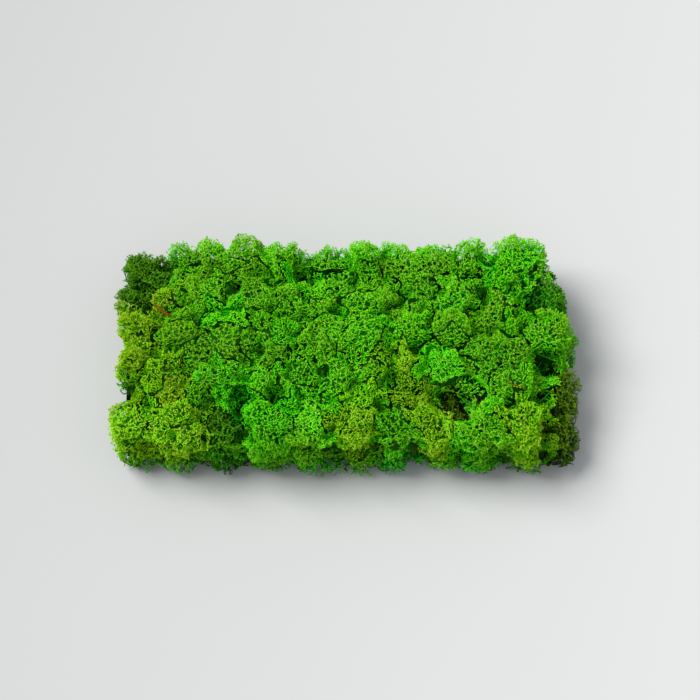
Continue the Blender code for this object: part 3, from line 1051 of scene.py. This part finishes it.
def ranged(tree, value, **limits):
    """A value carried from one range to another, both 0 to 1 where no limit is given."""
    limits = {label.replace("_", " "): limit for label, limit in limits.items()}
    return add_node(tree, "MapRange", {**limits, "Value": value}).outputs["Result"]


def blended(tree, share, first, second):
    """The colour between two, by a share."""
    blend = add_node(tree, "Mix", {"Factor": share, "A": first, "B": second}, data_type="RGBA")
    return blend.outputs["Result"]


def noise(tree, scale, detail):
    """Noise in the object's own space."""
    space = add_node(tree, "TexCoord").outputs["Object"]
    return add_node(tree, "TexNoise", {"Scale": scale, "Detail": detail, "Vector": space}).outputs["Fac"]


def opaque(colour):
    """A colour with its alpha."""
    return (*colour, 1.0)


def new_group(name, inputs, outputs):
    """An empty shader node group with named sockets. Returns its tree and its two end nodes."""
    tree = bpy.data.node_groups.new(name, "ShaderNodeTree")
    for label, kind, value in inputs:
        socket = tree.interface.new_socket(label, in_out="INPUT", socket_type=kind)
        socket.default_value = value
    for label, kind in outputs:
        tree.interface.new_socket(label, in_out="OUTPUT", socket_type=kind)
    return tree, tree.nodes.new("NodeGroupInput"), tree.nodes.new("NodeGroupOutput")


def growth_group():
    """Colour and roughness by age and tint. Age runs from the tip's colour, through the branch's, the inner
    and the oldest one, to the foot's, growing darker partly with age and partly as painted shade of the
    depths.
    Tint turns the hue and the brightness a little to either side."""
    colours = [(label, "NodeSocketColor", opaque((0.5, 0.5, 0.5))) for label in STAGES]
    swings = [("Hue Swing", "NodeSocketFloat", 0.028), ("Brightness Swing", "NodeSocketFloat", 0.5)]
    tree, given, result = new_group("moss_growth", colours + swings,
                                    [("Color", "NodeSocketColor"), ("Roughness", "NodeSocketFloat")])
    places = add_node(tree, "UVMap", uv_map="OFBake")
    split = add_node(tree, "SeparateXYZ", {0: places.outputs["UV"]})
    age, tint = split.outputs["X"], split.outputs["Y"]
    colour = given.outputs[STAGES[0]]
    for label, (low, high) in STAGE_AGES.items():
        share = ranged(tree, age, From_Min=low, From_Max=high)
        colour = blended(tree, share, colour, given.outputs[label])

    off = add_node(tree, "Math", {0: tint, 1: 0.5}, operation="SUBTRACT").outputs[0]
    turned = add_node(tree, "HueSaturation", {
        "Hue": multiply_add(tree, off, given.outputs["Hue Swing"], 0.5),
        "Value": multiply_add(tree, off, given.outputs["Brightness Swing"], 1.0),
        "Color": colour,
    })
    dryness = ranged(tree, age, To_Min=0.62, To_Max=0.95)
    fill(tree, result, {"Color": turned.outputs["Color"], "Roughness": dryness})
    return tree


def felt_group():
    """Height of the fine felt on a surface: two sizes of noise in the object's own space."""
    tree, given, result = new_group(
        "felt",
        [("Grain Size", "NodeSocketFloat", 0.00035), ("Coarse Share", "NodeSocketFloat", 0.5)],
        [("Height", "NodeSocketFloat")],
    )
    fine = add_node(tree, "Math", {0: 1.0, 1: given.outputs["Grain Size"]}, operation="DIVIDE").outputs[0]
    coarse = add_node(tree, "Math", {0: fine, 1: 0.3}, operation="MULTIPLY").outputs[0]
    blend = add_node(tree, "Mix", {
        "Factor": given.outputs["Coarse Share"], "A": noise(tree, fine, 3.0), "B": noise(tree, coarse, 3.0)})
    fill(tree, result, {"Height": blend.outputs["Result"]})
    return tree


def felted_normal(tree, felt, grain, coarse, strength):
    """The normal of a surface with felt on it."""
    pile = add_node(tree, "Group", {"Grain Size": grain, "Coarse Share": coarse}, node_tree=felt)
    relief = {"Strength": strength, "Distance": 0.0001, "Height": pile.outputs["Height"]}
    return add_node(tree, "Bump", relief).outputs["Normal"]


def new_material(name):
    """A new material, its tree and its shader."""
    material = bpy.data.materials.new(name)
    material.use_nodes = True
    return material, material.node_tree, material.node_tree.nodes["Principled BSDF"]


def moss_material(slot, growth, felt):
    """Soft, dry strands with a faint green sheen."""
    material, tree, shader = new_material(slot)
    colours = {label: opaque(colour) for label, colour in zip(STAGES, MOSS_COLOURS[slot])}
    looks = add_node(tree, "Group", colours, node_tree=growth)
    fill(tree, shader, {
        "Base Color": looks.outputs["Color"], "Roughness": looks.outputs["Roughness"],
        "Specular IOR Level": 0.03, "Sheen Weight": 0.10, "Sheen Roughness": 0.5,
        "Sheen Tint": (0.35, 0.90, 0.02, 1.0), "Normal": felted_normal(tree, felt, 0.00035, 0.4, 0.25),
    })
    return material


def wood_material(felt):
    """Wood: darker in its grooves, red-brown on its ridges, mottled by noise in its own space."""
    material, tree, shader = new_material("wood")
    ridges = add_node(tree, "Attribute", attribute_name="ridges").outputs["Fac"]
    mottling = multiply_add(tree, noise(tree, 900.0, 4.0), 1.4, -0.45)
    paleness = multiply_add(tree, ridges, 0.5, mottling, use_clamp=True)
    fill(tree, shader, {
        "Base Color": blended(tree, paleness, *map(opaque, WOOD_COLOURS)),
        "Roughness": ranged(tree, paleness, To_Min=0.85, To_Max=0.62),
        "Specular IOR Level": 0.03, "Normal": felted_normal(tree, felt, 0.0002, 0.5, 0.5),
    })
    return material


def floor_material():
    """Pale paper with painted shade, a little darker to the left and the back, and a faint mottling."""
    material, tree, shader = new_material("floor")
    space = add_node(tree, "TexCoord").outputs["Object"]
    slope = add_node(tree, "VectorMath", {0: space, 1: FLOOR_SHADE_SLOPE}, operation="DOT_PRODUCT").outputs["Value"]
    level = multiply_add(tree, noise(tree, 6.0, 3.0), 0.03, slope)
    share = ranged(tree, level, From_Min=-0.5, From_Max=0.5)
    fill(tree, shader, {"Base Color": blended(tree, share, *map(opaque, FLOOR_COLOURS)), "Roughness": 0.7})
    return material


def build_moss():
    """The slivers of wood, and then the tufts. Each takes its node's place, on the body root."""
    growth, felt = growth_group(), felt_group()
    materials = {slot: moss_material(slot, growth, felt) for slot in MOSS_COLOURS}
    wood, rng = wood_material(felt), np.random.default_rng(SEEDS["wood"])
    for name in WOOD:
        piece = make_wood(name, rng, wood)
        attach(piece, "root")
        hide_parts(name)
    mat = Mat()
    skin = Skin(mat)
    for owner, name in enumerate(TUFTS):
        slot = SLOT_OF[name]
        piece = make_piece("moss_" + name, grow_tuft(name, mat, skin, owner), materials[slot])
        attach(piece, "root")
        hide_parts(name)


def add_softbox():
    """A large square lamp, turned so that it shines on the middle of the clump's foot."""
    lamp = bpy.data.lights.new("softbox", "AREA")
    lamp.shape = "RECTANGLE"
    lamp.size = lamp.size_y = LAMP_SIZE
    lamp.energy = LAMP_POWER
    lamp.color = LAMP_COLOUR
    light = bpy.data.objects.new("softbox", lamp)
    light.location = LAMP_PLACE
    x, y, z = (-value for value in LAMP_PLACE)
    light.rotation_euler = (math.atan2(math.hypot(x, y), -z), 0.0, math.atan2(x, -y) + math.pi)
    bpy.context.scene.collection.objects.link(light)


def build_studio():
    """A pale floor under a wide soft lamp and an even sky."""
    scene = bpy.context.scene
    world = bpy.data.worlds.new("studio")
    world.use_nodes = True
    sky = {"Color": SKY_COLOUR, "Strength": SKY_STRENGTH}
    fill(world.node_tree, world.node_tree.nodes["Background"], sky)
    scene.world = world
    add_softbox()

    mesh = bpy.data.meshes.new("floor")
    low, high = -FLOOR_REACH, FLOOR_REACH
    mesh.from_pydata([(low, low, 0), (high, low, 0), (high, high, 0), (low, high, 0)], [], [(0, 1, 2, 3)])
    floor = bpy.data.objects.new("floor", mesh)
    scene.collection.objects.link(floor)
    mesh.materials.append(floor_material())

    data = bpy.data.cameras.new("camera")
    data.lens = CAMERA_LENS
    data.sensor_width = SENSOR
    camera = bpy.data.objects.new("camera", data)
    camera.location = CAMERA_PLACE
    camera.rotation_euler = (math.radians(CAMERA_TILT), 0, 0)
    scene.collection.objects.link(camera)
    scene.camera = camera
    scene.view_settings.view_transform = "Standard"


build_moss()
build_studio()
